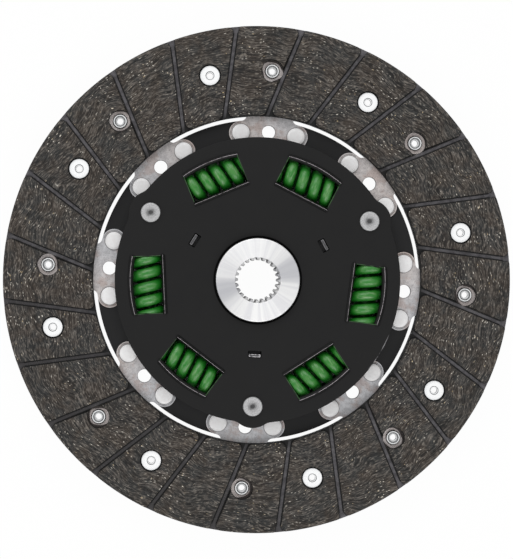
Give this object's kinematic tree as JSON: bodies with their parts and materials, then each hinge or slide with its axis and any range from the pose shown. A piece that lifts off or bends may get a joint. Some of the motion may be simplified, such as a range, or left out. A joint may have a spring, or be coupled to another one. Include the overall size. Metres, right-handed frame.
{
  "type": "clutch disc",
  "caption": "Sprung clutch disc with grooved friction facings on cushion segments, riveted damper plates, green coil springs and a splined flanged hub.",
  "frame": {"origin": "on the hub's axis, midway between the two friction facings", "axes": "+Z along the hub's axis towards the front, the side with the retainer plate; +X to the right as the front is seen upright"},
  "size_m": [0.24, 0.24, 0.027],
  "materials": {
    "friction_facing": "dark woven friction lining with fine golden flecks",
    "segment_steel": "bare spring steel with a mottled rolled surface",
    "facing_rivets": "bright zinc plate",
    "plate_rivets": "pale zinc, slightly rough heads",
    "black_plate": "satin black",
    "pin_steel": "matte grey phosphated steel",
    "green_spring": "semi-gloss green paint",
    "hub_steel": "turned face, ground barrel",
    "bush_plastic": "natural glass-filled nylon",
    "friction_ring": "moulded friction ring",
    "ring_steel": "plain rolled steel"
  },
  "bodies": {
    "disc": {"front_facing": "friction_facing", "rear_facing": "friction_facing", "cushion_segment_1": "segment_steel", "cushion_segment_2": "segment_steel", "cushion_segment_3": "segment_steel", "cushion_segment_4": "segment_steel", "cushion_segment_5": "segment_steel", "cushion_segment_6": "segment_steel", "cushion_segment_7": "segment_steel", "cushion_segment_8": "segment_steel", "front_facing_rivets": "facing_rivets", "rear_facing_rivets": "facing_rivets", "segment_rivets": "plate_rivets", "carrier_plate": "black_plate", "retainer_plate": "black_plate", "stop_pin_1": "pin_steel", "stop_pin_2": "pin_steel", "stop_pin_3": "pin_steel", "damper_spring_1": "green_spring", "damper_spring_2": "green_spring", "damper_spring_3": "green_spring", "damper_spring_4": "green_spring", "damper_spring_5": "green_spring", "damper_spring_6": "green_spring", "centring_bush": "bush_plastic", "rear_friction_ring": "friction_ring", "front_friction_ring": "friction_ring", "thrust_ring": "ring_steel", "disc_spring": "ring_steel"},
    "hub": {"hub": "hub_steel"}
  },
  "joints": [
    {"name": "damper_twist", "type": "hinge", "parent": "disc", "child": "hub", "pos_m": [0, 0, 0], "axis": [0, 0, 1], "range_deg": [-5, 5], "stiffness_Nm_per_rad": 850, "deforming": ["damper_spring_1", "damper_spring_2", "damper_spring_3", "damper_spring_4", "damper_spring_5", "damper_spring_6"]}
  ]
}
